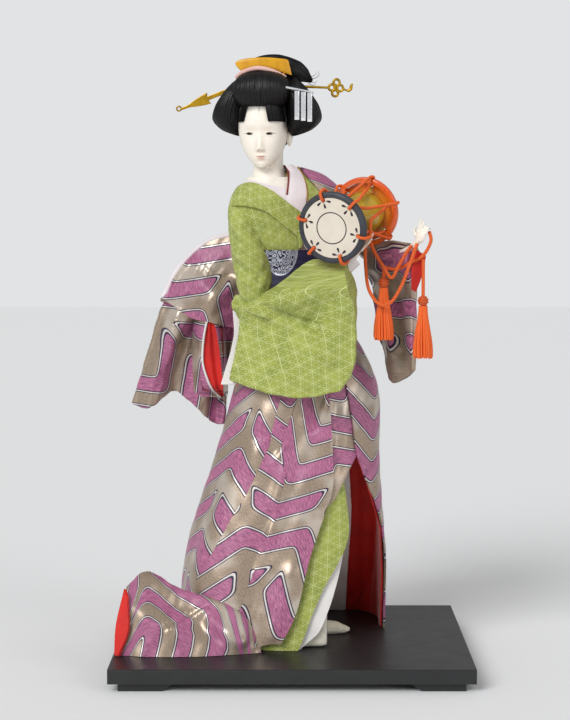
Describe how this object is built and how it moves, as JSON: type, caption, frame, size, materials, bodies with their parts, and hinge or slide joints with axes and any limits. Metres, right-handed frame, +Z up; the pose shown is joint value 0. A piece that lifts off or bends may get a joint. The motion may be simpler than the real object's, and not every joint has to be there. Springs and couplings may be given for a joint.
{
  "type": "geisha costume doll",
  "caption": "Standing costume doll in layered silk kimono with an upswept wig, holding a laced hourglass hand drum, on a low lacquered board.",
  "frame": {"origin": "centre of the stand's footprint on the surface it stands on", "axes": "+Z up, the doll faces -Y, +X to the viewer's right"},
  "size_m": [0.3, 0.24, 0.5266],
  "materials": {
    "lacquer": "satin black lacquer over wood board",
    "steel": "plain steel rod",
    "wadding": "cotton wadding",
    "wood_wool": "pressed wood wool",
    "wrapped_wire": "paper-wrapped wire",
    "shell_paste": "soft white shell paste",
    "eye_glass": "dark glass eye, opaque",
    "hair": "combed black silk hair, set",
    "tie_silk": "pale pink tie",
    "amber": "amber comb",
    "gilt": "gilt metal",
    "silver": "polished silver plate",
    "tabi_cotton": "off-white cotton",
    "white_silk": "white silk lining",
    "red_silk": "scarlet silk lining",
    "green_brocade": "yellow-green brocade with gold lattice",
    "purple_brocade": "mauve and taupe brocade",
    "navy_brocade": "navy brocade with silver scrolls",
    "drum_skin": "cream drum head",
    "drum_gold": "gold-lacquered wood",
    "orange_cord": "twisted orange silk cord"
  },
  "bodies": {
    "base": {"base_board": "lacquer", "base_runner_left": "lacquer", "base_runner_right": "lacquer", "standing_rod": "steel", "skirt_wadding": "wadding", "leg_left": "wrapped_wire", "leg_right": "wrapped_wire", "tabi_left": "tabi_cotton", "tabi_right": "tabi_cotton", "kimono_skirt": "purple_brocade", "kimono_under_panel": "purple_brocade", "green_underskirt": "green_brocade", "white_underskirt": "white_silk", "red_back_panel": "red_silk", "white_back_panel": "white_silk", "body_core": "wood_wool", "under_collar": "white_silk", "collar_piping": "red_silk", "green_bodice": "green_brocade", "kimono_bodice": "purple_brocade", "obi": "navy_brocade", "obi_knot": "navy_brocade", "green_sleeve": "green_brocade", "green_sleeve_lining": "white_silk", "white_cuff": "white_silk", "purple_sleeve": "purple_brocade", "purple_sleeve_lining": "red_silk", "slipped_sleeve": "purple_brocade", "slipped_sleeve_lining": "red_silk", "train": "purple_brocade", "train_red_hem": "red_silk", "hand_right": "shell_paste", "hand_left": "shell_paste", "drum_body": "drum_gold", "drum_head_front": "drum_skin", "drum_head_rear": "drum_skin", "drum_lacing": "orange_cord", "cord_lower": "orange_cord", "cord_upper": "orange_cord", "cord_wrist": "orange_cord"},
    "head": {"head": "shell_paste", "eye_left": "eye_glass", "eye_right": "eye_glass", "hair_front": "hair", "hair_back": "hair", "hair_wing_left": "hair", "hair_wing_right": "hair", "hair_topknot": "hair", "temple_lock_left": "hair", "temple_lock_right": "hair", "hair_tie": "tie_silk", "ornament_bar": "silver"},
    "comb": {"comb": "amber"},
    "hairpin_arrow": {"hairpin_arrow": "gilt"},
    "hairpin_knot": {"hairpin_knot": "gilt"},
    "ornament_strip_1": {"ornament_strip_1": "silver"},
    "ornament_strip_2": {"ornament_strip_2": "silver"},
    "ornament_strip_3": {"ornament_strip_3": "silver"},
    "tassel_front": {"tassel_front": "orange_cord"},
    "tassel_rear": {"tassel_rear": "orange_cord"}
  },
  "joints": [
    {"name": "head_turn", "type": "hinge", "parent": "base", "child": "head", "pos_m": [-0.021, -0.003, 0.41], "axis": [0, 0, 1], "range_deg": [-15, 15]},
    {"name": "comb_lift", "type": "slide", "parent": "head", "child": "comb", "axis": [0, 0, 1], "range_m": [0, 0.012]},
    {"name": "arrow_pin_pull", "type": "slide", "parent": "head", "child": "hairpin_arrow", "axis": [-0.9263, 0.1173, -0.3581], "range_m": [0, 0.02]},
    {"name": "knot_pin_pull", "type": "slide", "parent": "head", "child": "hairpin_knot", "axis": [0.9987, -0.0399, 0.0332], "range_m": [0, 0.02]},
    {"name": "strip_1_swing", "type": "hinge", "parent": "head", "child": "ornament_strip_1", "pos_m": [0.00134, -0.03073, 0.49046], "axis": [0.9605, 0.2454, -0.131], "range_deg": [-40, 3]},
    {"name": "strip_2_swing", "type": "hinge", "parent": "head", "child": "ornament_strip_2", "pos_m": [0.00672, -0.02935, 0.48973], "axis": [0.9605, 0.2454, -0.131], "range_deg": [-40, 3]},
    {"name": "strip_3_swing", "type": "hinge", "parent": "head", "child": "ornament_strip_3", "pos_m": [0.01209, -0.02798, 0.48899], "axis": [0.9605, 0.2454, -0.131], "range_deg": [-40, 3]},
    {"name": "front_tassel_swing", "type": "hinge", "parent": "base", "child": "tassel_front", "pos_m": [0.1085, -0.066, 0.3504], "axis": [0, 1, 0], "range_deg": [-20, 10]},
    {"name": "rear_tassel_swing", "type": "hinge", "parent": "base", "child": "tassel_rear", "pos_m": [0.076, -0.064, 0.3414], "axis": [0, 1, 0], "range_deg": [-12, 12]}
  ]
}
